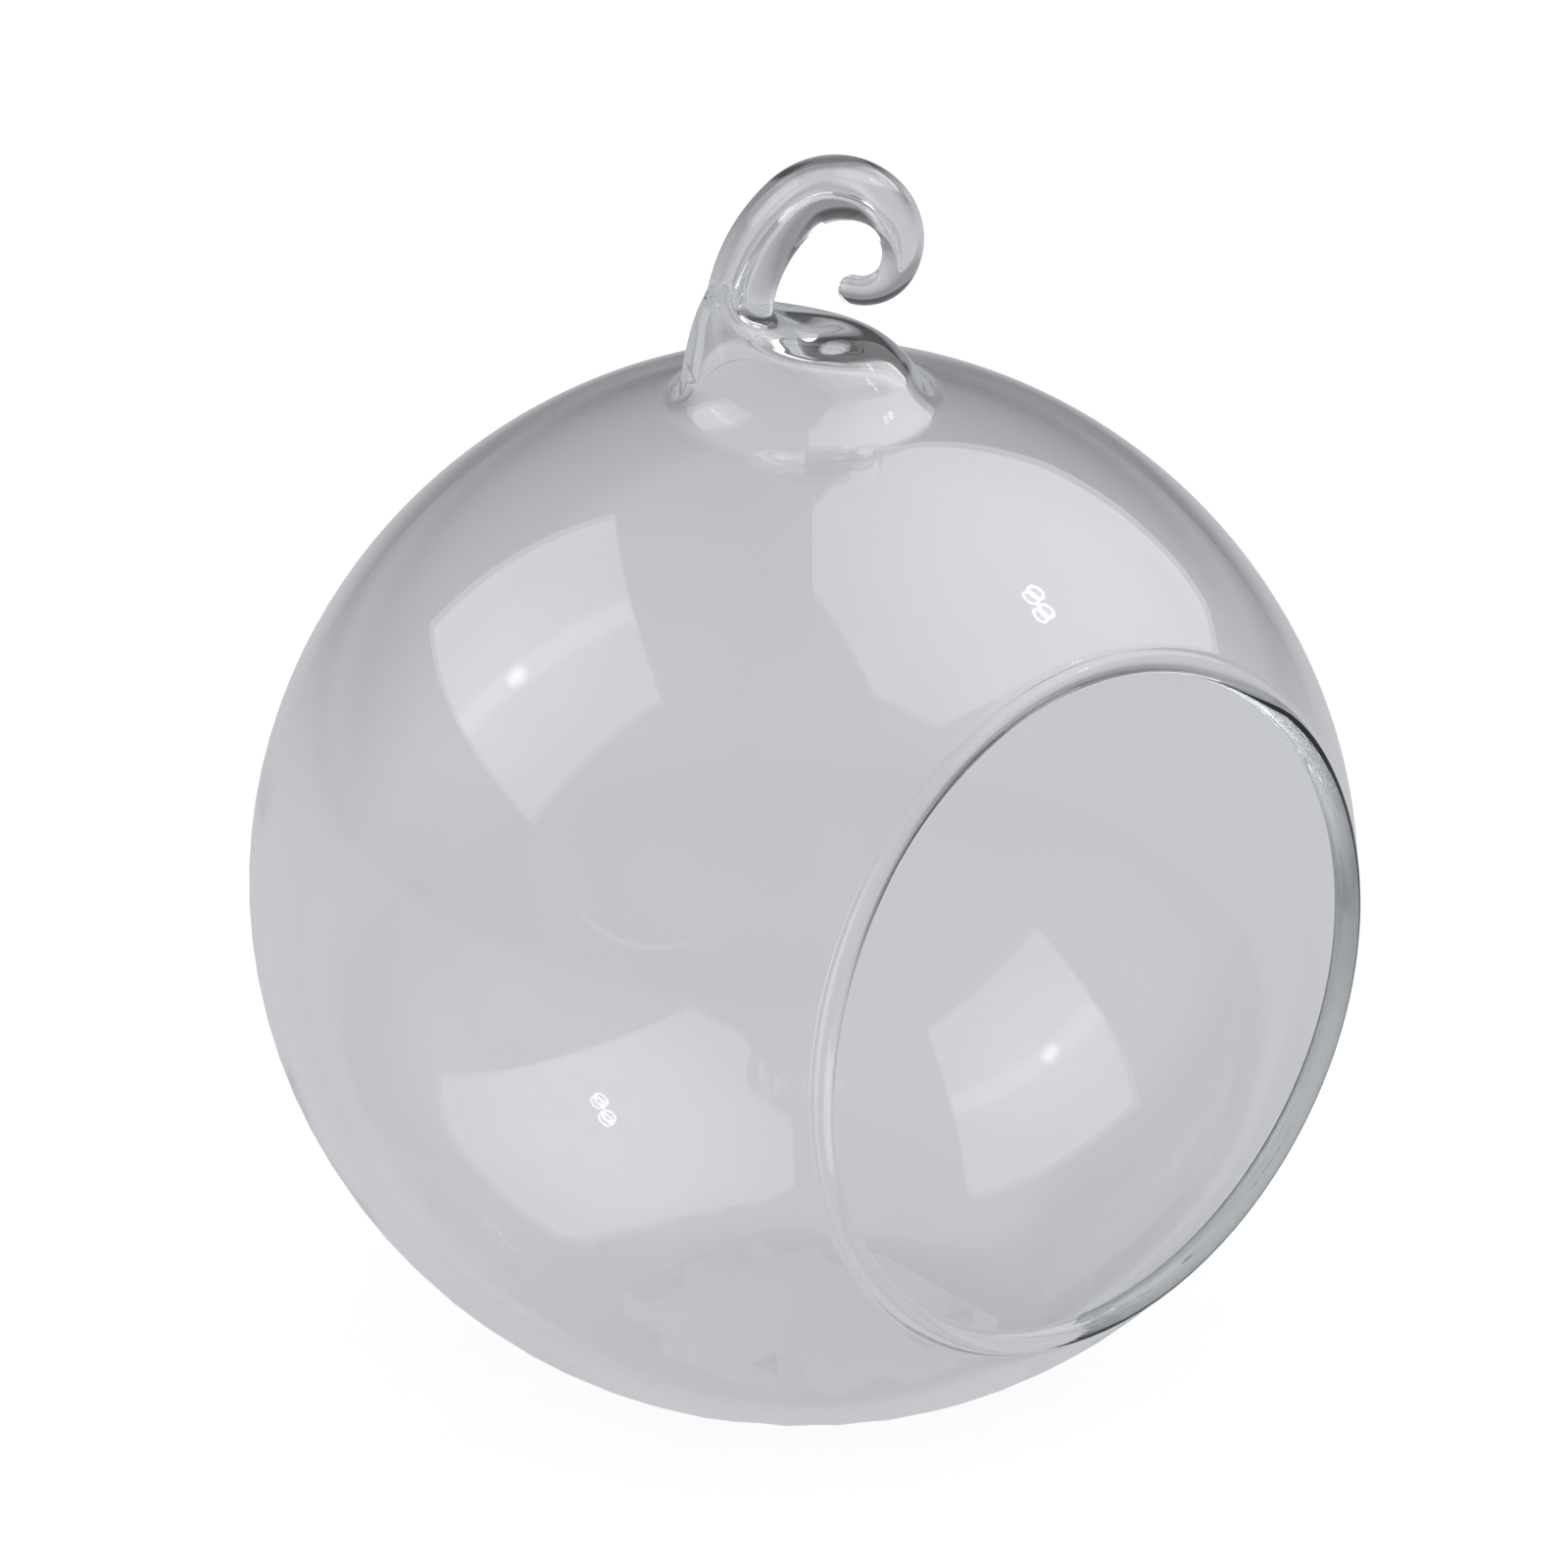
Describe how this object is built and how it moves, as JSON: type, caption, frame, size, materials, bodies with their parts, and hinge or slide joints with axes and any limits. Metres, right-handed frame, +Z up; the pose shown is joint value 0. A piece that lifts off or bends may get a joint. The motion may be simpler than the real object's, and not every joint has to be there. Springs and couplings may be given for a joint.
{
  "type": "hanging glass ball vase",
  "caption": "Clear blown glass ball vase with a small flat foot, a round mouth in its side and a drawn, curled hook on top to hang it by.",
  "frame": {"origin": "centre of the flat foot that the ball stands on", "axes": "+Z up through the ball's middle towards the hook, the hook curls over towards +X in the XZ plane, and the mouth looks out sideways between -Y and +X"},
  "size_m": [0.1202, 0.1205, 0.1387],
  "materials": {
    "clear_glass": "clear colourless blown glass, smooth and glossy, with a fire-polished rim"
  },
  "bodies": {
    "root": {"glass_vase": "clear_glass"}
  },
  "joints": []
}
